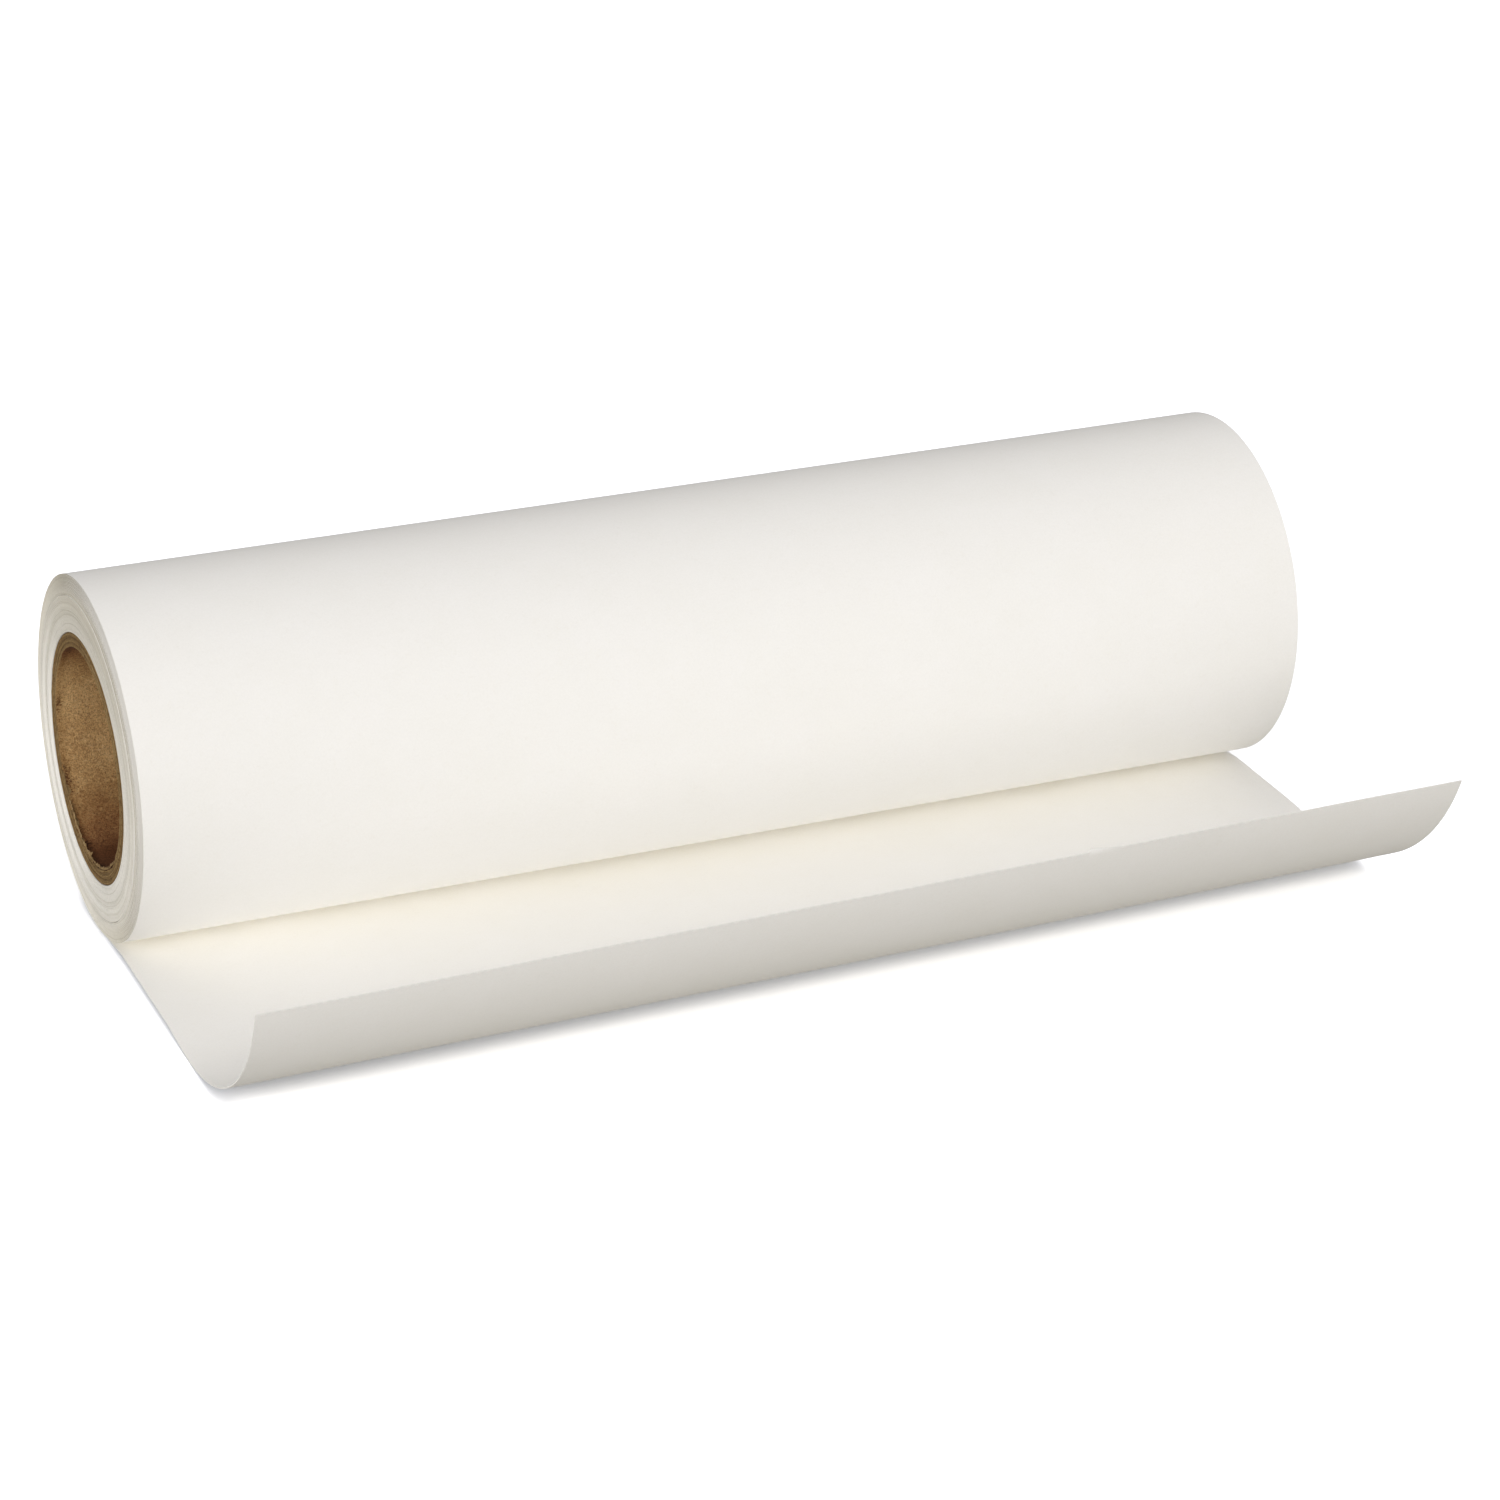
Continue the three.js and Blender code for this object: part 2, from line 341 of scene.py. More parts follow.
def cut_edge_material(name, low, high, speck=0.16, bump_mm=0.06, wound=True):
    """The sawn edges of the web: duller than its faces. The rings and the side-to-side change are fitted to the photo
    and are painted shade; the rings are partly dust on the outer turns too.
    """
    m, nt, bsdf = new_material(name)
    c = object_coord(nt)
    cloud = noise(nt, c, 70, 4, 0.6)
    tooth = noise(nt, c, 1300, 4, 0.62)
    colour = ramp(nt, cloud, [(0.3, low), (0.7, high)])
    shade = 1 - speck
    colour = multiply(nt, colour, ramp(nt, tooth, [(0.32, (shade, shade, shade)), (0.62, (1, 1, 1))]), 1.0)
    if wound:
        out = nt.nodes.new("ShaderNodeVectorMath")
        out.operation = "LENGTH"
        nt.links.new(across_axis(nt), out.inputs[0])
        where = wobbled(nt, out.outputs["Value"], cloud, 0.008)
        share = remap(nt, where, 0.0, 1.0, 0.66, 1.0)
        # rings by radius: painted shade of the slack and steps between groups of turns, the outer turns also a little
        # dustier
        ring_shade_and_dust = ramp(
            nt,
            share,
            [
                (0.0, (0.98, 0.98, 0.98)),
                (0.20, (0.98, 0.98, 0.98)),
                (0.30, (0.97, 0.97, 0.96)),
                (0.40, (0.90, 0.895, 0.87)),
                (0.50, (1.0, 1.0, 0.985)),
                (0.60, (0.92, 0.91, 0.885)),
                (0.68, (0.99, 0.985, 0.965)),
                (0.80, (1.0, 0.99, 0.96)),
                (1.0, (1.0, 0.99, 0.95)),
            ],
        )
        colour = multiply(nt, colour, ring_shade_and_dust, 1.0)
        # single turns come out lighter or darker than their neighbours, partly painted shade of their small offsets and
        # tilts
        lines = nt.nodes.new("ShaderNodeTexNoise")
        lines.noise_dimensions = "1D"
        lines.inputs["Scale"].default_value = 62.0
        lines.inputs["Detail"].default_value = 3.0
        lines.inputs["Roughness"].default_value = 0.7
        nt.links.new(where, lines.inputs["W"])
        colour = multiply(nt, colour, ramp(nt, lines.outputs["Fac"], [(0.35, (0.78, 0.77, 0.73)), (0.44, (0.985, 0.98, 0.97)), (0.6, (1, 1, 1))]), 0.8)
        # painted shade: duller with the angle round the end face, inside and, further round, on the outermost turns,
        # fitted to the photo's brightness like the bore's. It turns with the roll.
        painted_edge_shades = []
        for toward, scale, stops in (
            (105, 1 / 0.86, [(-0.75, (1, 1, 1)), (-0.26, (0.965, 0.96, 0.95)), (0.26, (0.92, 0.912, 0.89)), (0.71, (0.82, 0.805, 0.77)), (0.97, (0.73, 0.71, 0.665))]),
            (140, 1 / 0.95, [(-0.9, (1, 1, 1)), (-0.5, (0.94, 0.935, 0.92)), (-0.17, (0.87, 0.86, 0.835)), (0.25, (0.64, 0.627, 0.595)), (0.75, (0.50, 0.487, 0.455)), (1.0, (0.45, 0.438, 0.405))]),
        ):
            turn = nt.nodes.new("ShaderNodeVectorMath")
            turn.operation = "DOT_PRODUCT"
            q = math.radians(toward)
            turn.inputs[1].default_value = (0, math.cos(q) * scale, math.sin(q) * scale)
            nt.links.new(across_axis(nt), turn.inputs[0])
            side = remap(nt, wobbled(nt, turn.outputs["Value"], cloud, 0.08), 0.0, 1.0, -1.0, 1.0)
            painted_edge_shades.append(ramp(nt, side, [((v + 1) / 2, c2) for v, c2 in stops]))
        colour = multiply(nt, colour, mix(nt, painted_edge_shades[0], painted_edge_shades[1], remap(nt, where, 0.0, 1.0, 0.885, 0.93)), 1.0)
    nt.links.new(colour, bsdf.inputs["Base Color"])
    nt.links.new(remap(nt, tooth, 0.84, 0.95), bsdf.inputs["Roughness"])
    bsdf.inputs["Specular IOR Level"].default_value = 0.25
    bump(nt, bsdf, weighted(nt, [(tooth, 0.7), (cloud, 0.3)]), 0.5, bump_mm * MM)
    return m


PAPER_LOW, PAPER_HIGH = (0.984, 0.976, 0.950), (0.998, 0.991, 0.973)
paper_face = paper_material("paper_face", PAPER_LOW, PAPER_HIGH)
paper_edge = cut_edge_material("paper_cut_edges", (0.91, 0.895, 0.845), (0.985, 0.97, 0.93), 0.12)
sheet_edge = cut_edge_material("paper_sheet_edges", (0.93, 0.92, 0.885), (0.99, 0.98, 0.955), 0.08, 0.03, wound=False)
kraft_bore = kraft_material("kraft_bore", (0.55, 0.32, 0.135), (0.72, 0.445, 0.195), (0.85, 0.57, 0.275), 0.46, 0.16, bore=True)
kraft_torn = kraft_material("kraft_torn", (0.24, 0.15, 0.062), (0.36, 0.235, 0.105), (0.48, 0.34, 0.175), 0.35, 0.14)
kraft_ply = [
    kraft_material("kraft_ply_dark", (0.15, 0.09, 0.036), (0.215, 0.133, 0.053), (0.28, 0.18, 0.076), 0.3, 0.1),
    kraft_material("kraft_ply_mid", (0.20, 0.122, 0.048), (0.28, 0.178, 0.072), (0.35, 0.23, 0.10), 0.3, 0.1),
    kraft_material("kraft_ply_pale", (0.25, 0.158, 0.064), (0.34, 0.222, 0.094), (0.42, 0.285, 0.13), 0.3, 0.1),
]


def tape_material():
    m, nt, bsdf = new_material("start_tape")
    c = object_coord(nt)
    n = noise(nt, c, 260, 3, 0.6)
    nt.links.new(ramp(nt, n, [(0.3, (0.62, 0.52, 0.33)), (0.7, (0.74, 0.65, 0.45))]), bsdf.inputs["Base Color"])
    nt.links.new(remap(nt, n, 0.42, 0.6), bsdf.inputs["Roughness"])
    bump(nt, bsdf, n, 0.3, 0.03 * MM)
    return m


# ----------------------------------------------------------------- core, ply by ply
def ply_piece(name, r0, r1, material, seed, pitch, seg, left_end, right_end, gap=0.35 * MM, steps=4, phase=0.0):
    """One glued strip of board, wound as a helix with a butt seam, its ends sawn off with the tube.
    left_end and right_end give how far each end stands back from the cut, by angle."""
    half = CORE_HALF
    w = pitch - gap
    turns = (2 * half + w) / pitch
    n = int(round(turns * seg)) + 1
    wob = ring_noise(seed, 2, 9)
    rings = []
    for i in range(1, n - 1):
        ang = i * TAU / seg
        a = ang + phase
        x_low = -half - w + pitch * ang / TAU
        e0 = -half + float(left_end(a))
        e1 = half - float(right_end(a))
        x0, x1 = max(x_low, e0), min(x_low + w, e1)
        if x1 - x0 < 0.3 * MM:
            continue
        cut0, cut1 = x_low < e0, x_low + w > e1
        lead = min(0.22 * MM, (x1 - x0) * 0.2)
        xs = [x0, x0 + lead] + [x0 + lead + (x1 - x0 - 2 * lead) * k / steps for k in range(1, steps)] + [x1 - lead, x1]
        ca, sa = math.cos(a), math.sin(a)
        burr0 = 0.07 * MM if cut0 else 0.03 * MM
        burr1 = 0.07 * MM if cut1 else 0.03 * MM
        soft = 0.012 * MM * float(wob(np.array(a)))
        pts = []
        for k, x in enumerate(xs):
            b = burr0 if k == 0 else burr1 if k == len(xs) - 1 else 0.0
            r = r1 - b + soft
            pts.append((x, r * ca, AXIS_Z + r * sa))
        for k in range(len(xs) - 1, -1, -1):
            x = xs[k]
            b = burr0 if k == 0 else burr1 if k == len(xs) - 1 else 0.0
            r = r0 + b + soft
            pts.append((x, r * ca, AXIS_Z + r * sa))
        rings.append(pts)
    verts, faces = strip_mesh(rings)
    ob = add_mesh(name, verts, faces, material, 40)
    outward(ob)
    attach(ob, "roll")
    return ob


TORN_MID, TORN_HALF = math.radians(278), math.radians(48)


def end_profile(seed, depth, rough, torn=0.0, torn_fine=0.0):
    """How far a ply's sawn end stands back: a slow wave, saw roughness, and a torn stretch low on the bore's edge."""
    slow = ring_noise(seed, 1, 5)
    saw = ring_noise(seed + 1, 18, 60, 0.3)
    rag = ring_noise(seed + 2, 9, 40, 0.4)
    rag2 = ring_noise(seed + 3, 40, 110, 0.4)

    def f(a):
        a = np.array(a, float)
        d = depth * (1 + 0.35 * slow(a)) + rough * saw(a)
        if torn:
            w = angle_window(a, TORN_MID, TORN_HALF, math.radians(16))
            w = np.maximum(w, 0.45 * angle_window(a, math.radians(345), math.radians(14), math.radians(8)))
            w = np.maximum(w, 0.5 * angle_window(a, math.radians(38), math.radians(5), math.radians(4)))
            d = d + w * np.maximum(0, torn * (0.45 + 0.8 * rag(a)) + torn_fine * rag2(a))
        return float(max(0.0, d))

    return f


cad_plies = ["core_inner_liner"] + [f"core_ply_{i}" for i in range(1, 9)] + ["core_outer_liner"]
core_pieces = []
for i, node in enumerate(cad_plies):
    lo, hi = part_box(node)
    r1 = (hi[2] - lo[2]) / 2
    r0 = r1 - (0.3 if i in (0, 9) else 0.52) * MM
    back = [0.10, 0.02, 0.10, 0.16, 0.05, 0.20, 0.08, 0.18, 0.06, 0.12][i] * MM
    inner = i < 3
    left = end_profile(100 + 7 * i, back, 0.035 * MM, [1.1, 0.75, 0.35][i] * MM if inner else 0, [0.35, 0.22, 0.1][i] * MM if inner else 0)
    right = end_profile(300 + 7 * i, back, 0.035 * MM, [0.5, 0.3, 0.1][i] * MM if inner else 0, [0.2, 0.1, 0.05][i] * MM if inner else 0)
    piece = ply_piece(
        node.replace("core_", "core_wound_"),
        r0,
        r1,
        kraft_bore if i == 0 else kraft_ply[(0, 2, 1, 0, 2, 1, 0, 1, 2, 1)[i]],
        500 + i,
        (104 + 3.1 * ((i * 5) % 7)) * MM,
        320 if i < 2 else 200 if i == 2 else 144,
        left,
        right,
        steps=6 if i == 0 else 2,
        phase=math.radians(150 + 97 * i),
    )
    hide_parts(node)
    core_pieces.append(piece)


# torn fibres and flakes along the bore's sawn edge
def flakes(name, side, count, seed):
    rng = np.random.default_rng(seed)
    verts, faces = [], []
    for _ in range(count):
        pick = rng.uniform()
        if pick < 0.72:
            a = TORN_MID + rng.uniform(-1, 1) * (TORN_HALF + 0.15)
        elif pick < 0.88:
            a = math.radians(346) + rng.normal() * 0.16
        elif pick < 0.94:
            a = math.radians(39) + rng.normal() * 0.05
        else:
            a = rng.uniform(0, TAU)
        r = BORE_R + rng.uniform(-0.05, 0.75) * MM
        x = side * (CORE_HALF - rng.uniform(0.05, 1.0) * MM)
        size = rng.uniform(0.35, 1.25) * MM * (0.6 if pick > 0.94 else 1)
        wide = rng.uniform(0.12, 0.34) * MM
        thick = rng.uniform(0.03, 0.07) * MM
        radial = Vector((0, math.cos(a), math.sin(a)))
        tang = Vector((0, -math.sin(a), math.cos(a)))
        out = Vector((side, 0, 0))
        lean = rng.uniform(-0.3, 1.1)
        d = (-radial * rng.uniform(0.1, 0.9) + out * lean * 0.45 + tang * rng.uniform(-1.0, 1.0)).normalized()
        n = d.cross(tang + radial * rng.uniform(-0.6, 0.6)).normalized()
        s = d.cross(n).normalized()
        curl = rng.uniform(-0.5, 0.5)
        base = Vector((x, r * math.cos(a), AXIS_Z + r * math.sin(a)))
        rings = []
        steps = 4
        for k in range(steps + 1):
            u = k / steps
            c = base + d * size * u + n * size * curl * u * u
            hw = wide * (1 - 0.8 * u) * 0.5 * (1 + 0.3 * math.sin(9 * u + a * 7))
            ht = thick * (1 - 0.5 * u) * 0.5
            rings.append([c + s * hw + n * ht, c - s * hw + n * ht, c - s * hw - n * ht, c + s * hw - n * ht])
        v, f = strip_mesh(np.array([[tuple(p) for p in ring] for ring in rings]))
        off = len(verts)
        verts.extend([tuple(p) for p in v])
        faces.extend([tuple(q + off for q in face) for face in f])
    ob = add_mesh(name, verts, faces, kraft_torn, 30)
    outward(ob)
    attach(ob, "roll")
    return ob


def torn_lip(name, side, most, seed):
    """Low on the bore's edge the saw has torn the liner and turned it in: a ragged lip."""
    rag, rag2, lean = ring_noise(seed, 14, 50, 0.4), ring_noise(seed + 1, 60, 170, 0.3), ring_noise(seed + 2, 9, 40, 0.4)
    rings = []
    for a in np.radians(np.arange(214, 330, 0.4)):
        w = float(angle_window(a, math.radians(271), math.radians(36), math.radians(20)))
        tall = max(0.06, w * (0.62 + 0.42 * float(rag(a)) + 0.26 * float(rag2(a)))) * most
        r0, r1 = BORE_R - 0.02 * MM, BORE_R - tall * MM
        x0 = CORE_HALF - (0.22 + 0.10 * float(lean(a))) * MM
        tip = x0 + (-0.30 + 0.34 * float(lean(a))) * tall * MM
        section = [(x0, r0), ((x0 + tip) / 2 + 0.05 * MM, (r0 + r1) / 2), (tip, r1)]
        section += [(tip - 0.07 * MM, r1), ((x0 + tip) / 2 - 0.22 * MM, (r0 + r1) / 2), (x0 - 0.34 * MM, r0)]
        rings.append([(side * x, r * math.cos(a), AXIS_Z + r * math.sin(a)) for x, r in section])
    verts, faces = strip_mesh(rings)
    ob = add_mesh(name, verts, faces, kraft_torn, 40)
    outward(ob)
    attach(ob, "roll")
    return ob


torn_lip("core_torn_lip_left", -1, 1.25, 61)
torn_lip("core_torn_lip_right", 1, 0.8, 67)
flakes("core_torn_fibres_left", -1, 170, 41)
flakes("core_torn_fibres_right", 1, 80, 42)


# -------------------------------------------------------- the wound turns of the web
TURNS = 42
START = math.radians(-23)  # where the web's inner end is stuck to the core
LEAD = 67 / 360  # from there on to the bottom, where the web leaves the roll
INNER_R = CORE_R + 0.24 * MM
PITCH = (ROLL_R - PAPER_T - INNER_R) / (TURNS - 1)
SEG = 132


def wound_turns():
    n = int(round((TURNS + LEAD) * SEG))
    t = np.arange(n + 1) / SEG
    t[-1] = TURNS + LEAD
    a = START - TAU * t
    climbs = np.zeros_like(t)
    for j in range(TURNS - 1):
        f = j / (TURNS - 1)
        width = 0.06 + 0.24 * f
        end = (j + 1) + LEAD * f
        climbs += smooth((t - (end - width)) / width)
    outer = INNER_R + PAPER_T + PITCH * climbs
    inner = outer - PAPER_T
    # the outermost turn feathers out on the round roll, where the web leaves it
    below = np.interp(t - 1, t, outer)
    last = t > TURNS - 1 + LEAD * 0.5
    inner = np.where(last, np.maximum(inner, below + 0.012 * MM), inner)
    inner = np.minimum(inner, outer - 0.03 * MM)
    mid = (inner + outer) / 2

    # slack between groups of turns: the turns inside it sit a little tighter
    grooves = [
        # radius, slack all round, slack at its widest, where, how far it reaches
        (0.885, 0.26, 0.74, math.radians(194), math.radians(8)),
        (0.8175, 0.10, 0.16, math.radians(128), math.radians(20)),
        (0.762, 0.03, 0.06, math.radians(205), math.radians(16)),
        (0.925, 0.0, 0.12, math.radians(222), math.radians(5)),
    ]
    shift = np.zeros_like(mid)
    for share, always, most, where, reach in grooves:
        k = round((share * ROLL_R - PAPER_T - INNER_R) / PITCH)
        edge = INNER_R + PAPER_T + PITCH * k + 0.5 * (PITCH - PAPER_T)
        slack = ring_noise(int(share * 1000), 1, 4)
        g = always * (1 + 0.35 * slack(a)) + (most - always) * angle_window(a, where, reach, 1.6 * reach)
        lead = smooth((edge - mid) / (0.3 * PITCH))
        shift -= g * MM * lead * np.clip((mid - INNER_R) / (edge - INNER_R), 0, 1)
    inner, outer, mid = inner + shift, outer + shift, mid + shift

    # how far each turn has slid along the roll
    share = (mid - INNER_R) / (ROLL_R - INNER_R)
    slid = np.interp(share, [0.0, 0.14, 0.30, 0.42, 0.60, 0.625, 0.70, 0.80, 0.88, 1.0], [0.80, 0.76, 0.80, 0.88, 1.08, 0.94, 0.60, 0.20, 0.04, 0.0])
    rng = np.random.default_rng(7)
    knots = rng.normal(size=TURNS + 3) * 0.045
    slid = slid + np.interp(t, np.arange(TURNS + 3), knots)
    slid = slid + 0.02 * ring_noise(11, 1, 4)(a + 0.15 * t)
    slid = slid * MM
    fray = 0.012 * MM * ring_noise(17, 20, 60, 0.2)(a * 1.0 + 3.7 * t)
    thick = outer - inner
    # each cut edge leans: back towards its outer side near the core, towards its inner side at the outside
    lean = np.interp(share, [0.0, 0.12, 0.20, 0.30, 0.42, 0.50, 0.58, 0.66, 0.74, 0.82, 1.0], [0.17, 0.17, 0.10, -0.05, 0.14, 0.10, 0.03, 0.14, 0.0, -0.18, -0.22])
    lean = lean * MM * np.clip(thick / PAPER_T, 0.1, 1)
    low, high = np.maximum(-lean, 0), np.maximum(lean, 0)
    xl = -WIDTH / 2 - slid + fray
    xr = WIDTH / 2 - slid + fray
    ca, sa = np.cos(a), np.sin(a)

    def point(x, r):
        return np.stack([x, r * ca, AXIS_Z + r * sa], -1)

    rings = np.stack(
        [
            point(xl + low, inner),
            point(xl + 0.4 * (low + high), inner + 0.5 * thick),
            point(xl + high, outer),
            point(xr - high, outer),
            point(xr - 0.4 * (low + high), inner + 0.5 * thick),
            point(xr - low, inner),
        ],
        1,
    )
    verts, faces = strip_mesh(rings)
    k = 6
    index = np.zeros(len(faces), int)
    side = np.tile(np.arange(k), n)
    index[: n * k] = np.isin(side, (0, 1, 3, 4))
    ob = add_mesh("paper_wound_turns", verts, faces, None, 40, [paper_face, paper_edge], index)
    length = float(np.sum(mid[:-1] * TAU * np.diff(t)))
    outward(ob)
    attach(ob, "roll")
    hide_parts("paper_wound")
    return ob


wound_turns()


# --------------------------------------------------------------------- the free end
FLAT = (104.0, 87.4)
CURL_R = (82.1, 96.0)
CURL_DEG = (72.65, 68.58)
TIGHTEN = 0.1646
SKEW = -0.559  # degrees, the web runs off the roll a little askew
ASIDE = 1.0  # mm, where it leaves the roll
JOIN_Y = -50.0 * MM


def pair(v, w):
    return v[0] + (v[1] - v[0]) * w


# columns across the web: finer at both edges and where the free edge has a small spur
SPUR = (0.6680, 0.6965)
COLUMNS = np.unique(
    np.round(
        np.concatenate(
            [
                np.linspace(0, 1, 97),
                [0.0012, 0.003, 0.0055, 0.9945, 0.997, 0.9988],
                np.arange(SPUR[0] - 0.003, SPUR[1] + 0.003, 0.0011),
            ]
        ),
        5,
    )
)
COLUMNS = COLUMNS[np.concatenate([[True], np.diff(COLUMNS) > 0.0004])]


def lift(w, y):
    """Stiff paper doesn't press flat: between the roll and the curl its side edges stand a little off the floor."""
    flat = pair(FLAT, w) * MM
    left = 1.5 * MM * math.exp(-((w * WIDTH / (26 * MM)) ** 2)) + 0.25 * MM
    right = 0.9 * MM * math.exp(-(((1 - w) * WIDTH / (30 * MM)) ** 2))
    along = float(smooth((-y - 7 * MM) / (22 * MM)) * smooth((flat + y + 4 * MM) / (30 * MM)))
    return (left + right) * along


def sheet_grid(name, rows, thick):
    """A closed sheet. rows[i][j] = (point, normal) on the middle surface; thick[j] is the thickness."""
    p = np.array([[q[0] for q in row] for row in rows])
    nrm = np.array([[q[1] for q in row] for row in rows])
    th = np.broadcast_to(np.asarray(thick)[None, :, None], (p.shape[0], p.shape[1], 1))
    top, under = p + nrm * th / 2, p - nrm * th / 2
    ni, nj = p.shape[:2]
    verts = np.concatenate([top.reshape(-1, 3), under.reshape(-1, 3)])
    t = lambda i, j: i * nj + j
    u = lambda i, j: ni * nj + i * nj + j
    faces, index = [], []
    for i in range(ni - 1):
        for j in range(nj - 1):
            faces.append((t(i, j), t(i, j + 1), t(i + 1, j + 1), t(i + 1, j)))
            faces.append((u(i, j), u(i + 1, j), u(i + 1, j + 1), u(i, j + 1)))
            index += [0, 0]
    for i in range(ni - 1):
        faces.append((t(i, 0), t(i + 1, 0), u(i + 1, 0), u(i, 0)))
        faces.append((t(i, nj - 1), u(i, nj - 1), u(i + 1, nj - 1), t(i + 1, nj - 1)))
        index += [1, 1]
    for j in range(nj - 1):
        faces.append((t(0, j), u(0, j), u(0, j + 1), t(0, j + 1)))
        faces.append((t(ni - 1, j), t(ni - 1, j + 1), u(ni - 1, j + 1), u(ni - 1, j)))
        index += [1, 1]
    ob = add_mesh(name, verts, faces, None, 50, [paper_face, sheet_edge], index)
    outward(ob)
    return ob


def aside(y):
    return ASIDE * MM + math.radians(SKEW) * (-y)


def under_roll():
    """The layer that comes down the back of the roll, under it and out to the front."""
    turn = math.radians(102)
    path, thick = [], []
    wraps = 56
    for k in range(wraps + 1):
        b = turn * (1 - k / wraps)
        th = PAPER_T * (1 - 0.93 * smooth((b - math.radians(38)) / (turn - math.radians(38))))
        r = ROLL_R + 0.02 * MM + th / 2
        path.append((r * math.sin(b), AXIS_Z - r * math.cos(b), 0.0, math.sin(b), -math.cos(b), b))
        thick.append(th)
    flats = 26
    for k in range(1, flats + 1):
        y = JOIN_Y * k / flats
        path.append((y, PAPER_T / 2, 0, 0, -1, 0.0))
        thick.append(PAPER_T)
    rows = []
    for w in COLUMNS:
        row = []
        for (y, z, _, ny, nz, b) in path:
            fade = 1 - float(smooth(b / turn))
            x = (w - 0.5) * WIDTH + (aside(min(y, 0.0)) if b == 0 else ASIDE * MM * fade)
            row.append(((x, y, z + (lift(w, y) if b == 0 else 0.0)), (0.0, -ny, -nz)))
        rows.append(row)
    ob = sheet_grid("paper_leaving_roll", rows, thick)
    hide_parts("paper_under_roll")
    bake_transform(ob)
    return ob


def free_end():
    """The laid stretch and the curl at its end, its bend easing from the left edge to the right."""
    flats, bends = 34, 60
    wave = ring_noise(23, 1, 7, 0.8)
    wave2 = ring_noise(29, 2, 12, 0.6)
    spur = ring_noise(31, 20, 60, 0.2)
    near_tip = [4.0, 3.0, 2.2, 1.5, 1.0, 0.6, 0.3, 0.0]  # mm left to the free edge
    rows = []
    longest = 0.0
    for w in COLUMNS:
        flat = pair(FLAT, w) * MM
        radius = pair(CURL_R, w) * MM
        arc = radius * math.radians(pair(CURL_DEG, w))
        pts = []
        for k in range(flats + 1):
            y = JOIN_Y + (-flat - JOIN_Y) * k / flats
            pts.append((y, PAPER_T / 2 + lift(w, y), 0.0, 0.0))
        stations = [k / bends * (1 - 4.8 * MM / arc) for k in range(1, bends + 1)]
        stations += [1 - t * MM / arc for t in near_tip]
        y, z, a, u = -flat, PAPER_T / 2, 0.0, 0.0
        for stop in stations:
            steps = 4
            du = (stop - u) / steps
            for s in range(steps):
                ds = arc * du
                bend = (1 + TIGHTEN * (2 * (u + du / 2) - 1)) / radius
                half = a + bend * ds / 2
                y -= math.cos(half) * ds
                z += math.sin(half) * ds
                a += bend * ds
                u += du
            pts.append((y, z, a, u))
        longest = max(longest, flat + JOIN_Y + arc)
        # the cut left a small spur standing on the free edge
        stand = 0.0
        if SPUR[0] < w < SPUR[1]:
            along = (w - SPUR[0]) / (SPUR[1] - SPUR[0])
            stand = 0.95 * MM * (1 - along) ** 1.15 * float(smooth(along / 0.035)) * (1 + 0.06 * float(spur(np.array(w * 40))))
        row = []
        for py, pz, pa, pu in pts:
            # the free edge isn't perfectly even
            sway = MM * pu * pu * (0.22 * float(wave(np.array(w * 2.2))) + 0.07 * float(wave2(np.array(w * 5.0))))
            n = (0.0, math.sin(pa), math.cos(pa))
            x = (w - 0.5) * WIDTH + aside(py)
            left_to_go = (1 - pu) * arc
            out = stand * max(0.0, 1 - left_to_go / (1.5 * MM))
            back_over = 0.75 * out * out / max(stand, 1e-9)
            py2 = py + n[1] * (sway + back_over) - math.cos(pa) * out
            pz2 = pz + n[2] * (sway + back_over) + math.sin(pa) * out
            row.append(((x, py2, pz2), n))
        rows.append(row)
    ob = sheet_grid("paper_free_end", rows, [PAPER_T] * len(rows[0]))
    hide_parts("paper_on_floor", "paper_leading_edge")
    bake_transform(ob)
    return ob


under_roll()
free_end()

# ----------------------------------------------------------- CAD nodes that stay as they are
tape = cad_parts["start_tape"]
tape.data.materials.clear()
tape.data.materials.append(tape_material())


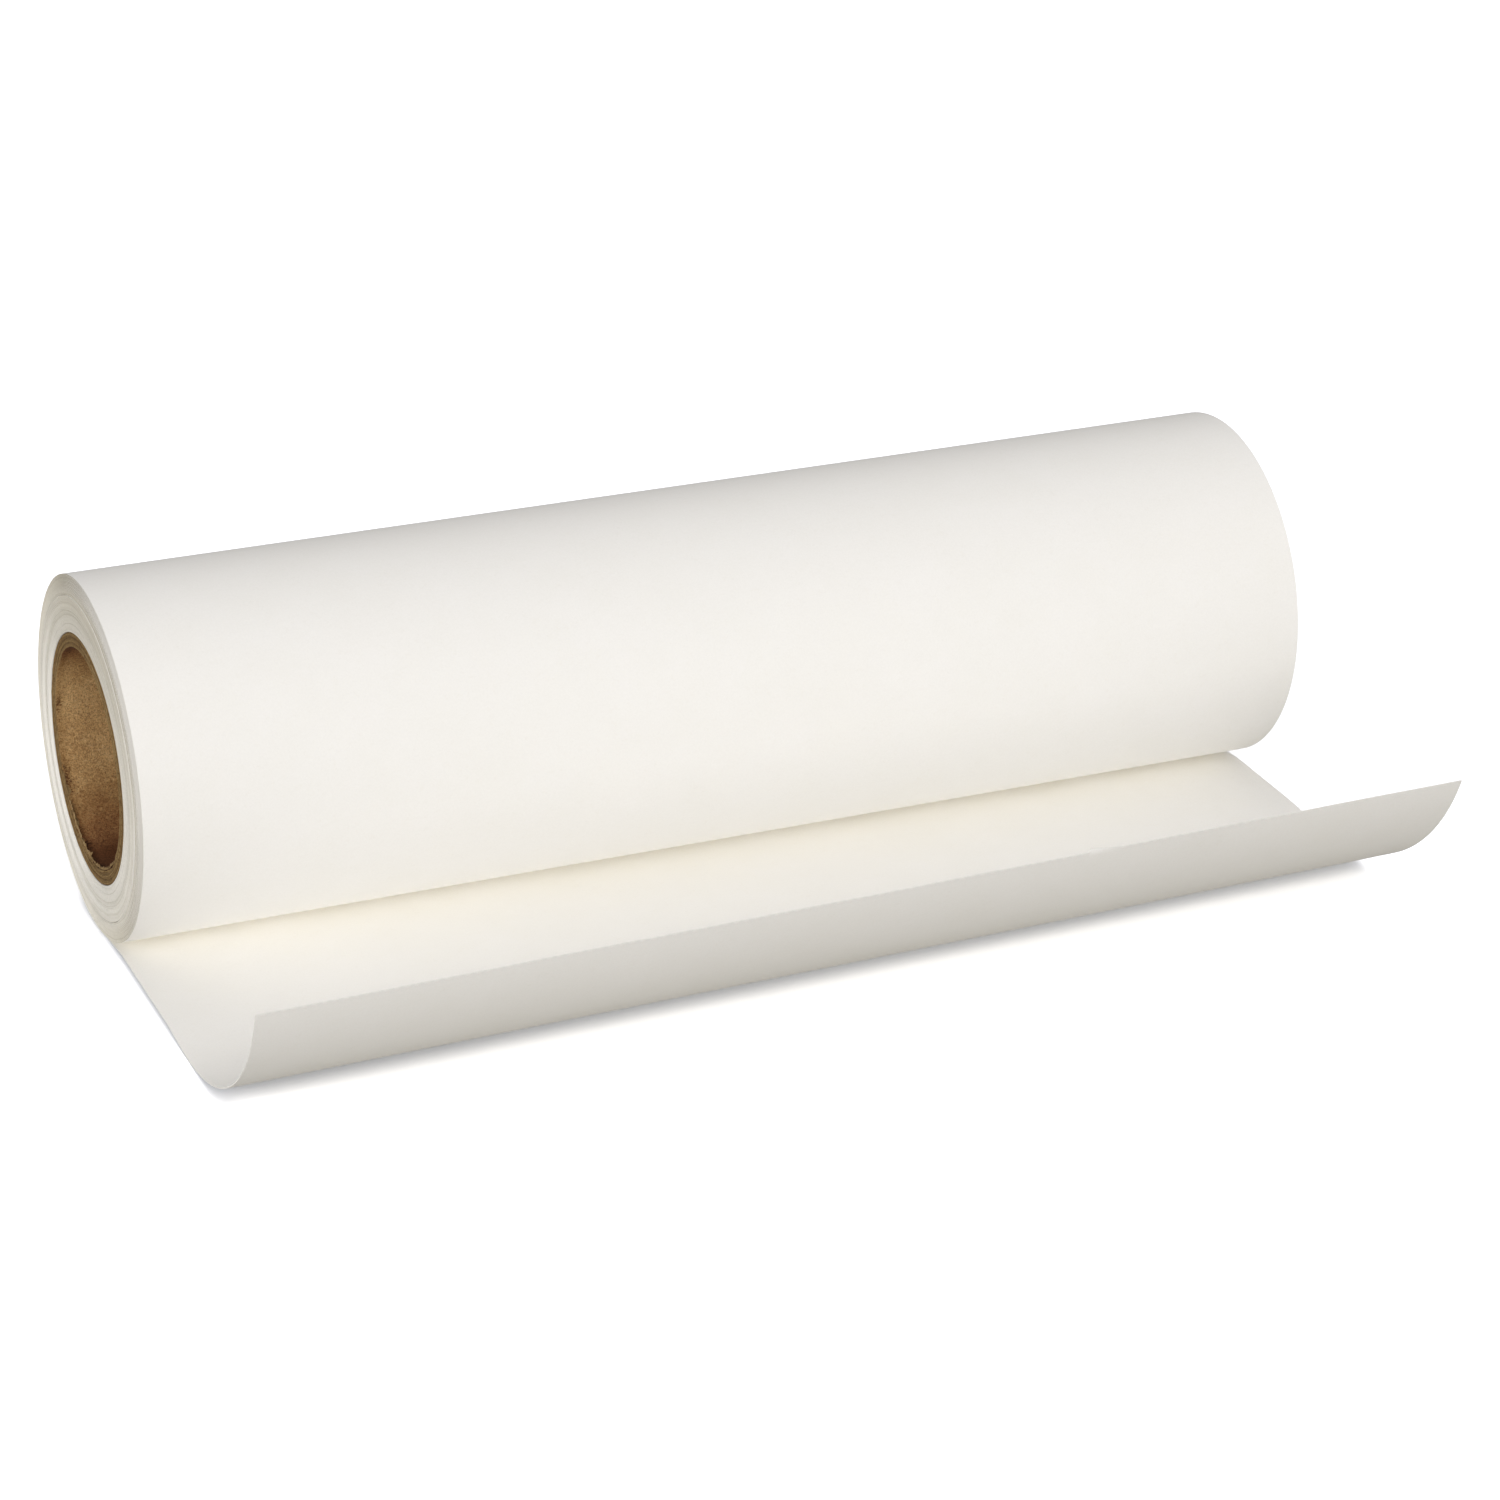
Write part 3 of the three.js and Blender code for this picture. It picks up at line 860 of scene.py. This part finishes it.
# ------------------------------------------------------------------- floor and light
def floor_material():
    """A pale studio floor, exposed past white as it is behind a product. What it hands back up to the object is less."""
    m, nt, bsdf = new_material("floor")
    nt.nodes.remove(bsdf)
    n = noise(nt, object_coord(nt), 3.0, 2, 0.5)
    shown = nt.nodes.new("ShaderNodeBsdfDiffuse")
    bounced = nt.nodes.new("ShaderNodeBsdfDiffuse")
    tint = ramp(nt, n, [(0.3, (0.97, 0.97, 0.975)), (0.7, (1.0, 1.0, 1.0))])
    # painted contact shadow: the floor darkens with ambient occlusion into the narrow dark line where the paper meets
    # the floor
    near = nt.nodes.new("ShaderNodeAmbientOcclusion")
    near.samples = 12
    near.inputs["Distance"].default_value = 7 * MM
    painted_contact_shadow = ramp(nt, near.outputs["AO"], [(0.0, (0.36, 0.38, 0.42)), (0.87, (1.0, 1.0, 1.0))])
    for shader, colour, base in ((shown, FLOOR_SHOWN, multiply(nt, tint, painted_contact_shadow, 1.0)), (bounced, FLOOR_BOUNCE, tint)):
        v = nt.nodes.new("ShaderNodeVectorMath")
        v.operation = "MULTIPLY"
        v.inputs[1].default_value = colour
        nt.links.new(base, v.inputs[0])
        nt.links.new(v.outputs["Vector"], shader.inputs["Color"])
    path = nt.nodes.new("ShaderNodeLightPath")
    both = nt.nodes.new("ShaderNodeMixShader")
    nt.links.new(path.outputs["Is Camera Ray"], both.inputs["Fac"])
    # painted light: the floor glows faintly warm towards the object, a fill from below that comes from no lamp
    glow = nt.nodes.new("ShaderNodeEmission")
    glow.inputs["Color"].default_value = (1.0, 0.97, 0.88, 1)
    glow.inputs["Strength"].default_value = FLOOR_GLOW
    fill = nt.nodes.new("ShaderNodeAddShader")
    nt.links.new(bounced.outputs["BSDF"], fill.inputs[0])
    nt.links.new(glow.outputs["Emission"], fill.inputs[1])
    nt.links.new(fill.outputs["Shader"], both.inputs[1])
    nt.links.new(shown.outputs["BSDF"], both.inputs[2])
    nt.links.new(both.outputs["Shader"], nt.nodes["Material Output"].inputs["Surface"])
    return m


FLOOR_SHOWN, FLOOR_BOUNCE, FLOOR_GLOW = (2.23, 2.28, 2.42), (0.50, 0.488, 0.455), 0.055

half = 12.0
floor = add_mesh(
    "floor",
    [(-half, -half, -0.0001), (half, -half, -0.0001), (half, half, -0.0001), (-half, half, -0.0001)],
    [(0, 1, 2, 3)],
    floor_material(),
)

scene = bpy.context.scene
world = bpy.data.worlds.new("studio")
scene.world = world
world.use_nodes = True
wt = world.node_tree
bg = wt.nodes["Background"]
# a ring of large soft lights: azimuth from the front (minus is to the left), elevation, strength
SOFT_LIGHTS = [
    (-110, 5, 0.477),
    (-75, 5, 2.674),
    (-45, 5, 2.340),
    (-15, 5, 0.745),
    (60, 5, 0.950),
    (-75, 35, 0.143),
    (-15, 35, 1.337),
    (20, 35, 0.859),
    (60, 65, 0.480),
    (0, 85, 1.170),
    (180, 35, 0.560),
    (-150, 35, 0.420),
    (120, 35, 0.420),
]
direction = wt.nodes.new("ShaderNodeTexCoord").outputs["Generated"]
total = None
for around, height, strength in SOFT_LIGHTS:
    p, q = math.radians(around), math.radians(height)
    dot = wt.nodes.new("ShaderNodeVectorMath")
    dot.operation = "DOT_PRODUCT"
    dot.inputs[1].default_value = (math.sin(p) * math.cos(q), -math.cos(p) * math.cos(q), math.sin(q))
    wt.links.new(direction, dot.inputs[0])
    value = dot.outputs["Value"]
    for op, k in (("MAXIMUM", 0.0), ("POWER", 12.0), ("MULTIPLY", strength)):
        m = wt.nodes.new("ShaderNodeMath")
        m.operation = op
        m.inputs[1].default_value = k
        wt.links.new(value, m.inputs[0])
        value = m.outputs[0]
    if total is not None:
        m = wt.nodes.new("ShaderNodeMath")
        m.operation = "ADD"
        wt.links.new(total, m.inputs[0])
        wt.links.new(value, m.inputs[1])
        value = m.outputs[0]
    total = value
tone = wt.nodes.new("ShaderNodeVectorMath")
tone.operation = "SCALE"
tone.inputs[0].default_value = (1.0, 0.981, 0.960)
wt.links.new(total, tone.inputs["Scale"])
wt.links.new(tone.outputs["Vector"], bg.inputs["Color"])
bg.inputs["Strength"].default_value = 1.0
# past the floor's far edge, a low camera sees the same white as the floor
wall = wt.nodes.new("ShaderNodeBackground")
wall.inputs["Color"].default_value = (1.0, 1.0, 1.0, 1)
seen = wt.nodes.new("ShaderNodeLightPath")
either = wt.nodes.new("ShaderNodeMixShader")
wt.links.new(seen.outputs["Is Camera Ray"], either.inputs["Fac"])
wt.links.new(bg.outputs["Background"], either.inputs[1])
wt.links.new(wall.outputs["Background"], either.inputs[2])
wt.links.new(either.outputs["Shader"], wt.nodes["World Output"].inputs["Surface"])

scene.cycles.max_bounces = 24
scene.cycles.diffuse_bounces = 20

# ----------------------------------------------------------------------------- camera
UNIT = 63.2 * MM
az, el, roll = math.radians(-23.6365), math.radians(24.1806), math.radians(0.7335)
target = Vector((0.8536, 0.9241, -0.0466)) * UNIT + Vector((0, 0, 0.45 * MM))
back = Vector((math.sin(az) * math.cos(el), -math.cos(az) * math.cos(el), math.sin(el)))
right = (-back).cross(Vector((0, 0, 1))).normalized()
up = right.cross(-back)
r2 = right * math.cos(roll) + up * math.sin(roll)
u2 = -right * math.sin(roll) + up * math.cos(roll)
cam_data = bpy.data.cameras.new("camera")
cam = bpy.data.objects.new("camera", cam_data)
scene.collection.objects.link(cam)
cam_data.sensor_width = 36
cam_data.lens = 36 * 4701.26 / 1500
cam_data.clip_start, cam_data.clip_end = 0.05, 60
where = target + back * 27.9526 * UNIT
cam.matrix_world = Matrix(
    ((r2.x, u2.x, back.x, where.x), (r2.y, u2.y, back.y, where.y), (r2.z, u2.z, back.z, where.z), (0, 0, 0, 1))
)
scene.camera = cam
scene.view_settings.view_transform = "Standard"

bpy.context.view_layer.update()
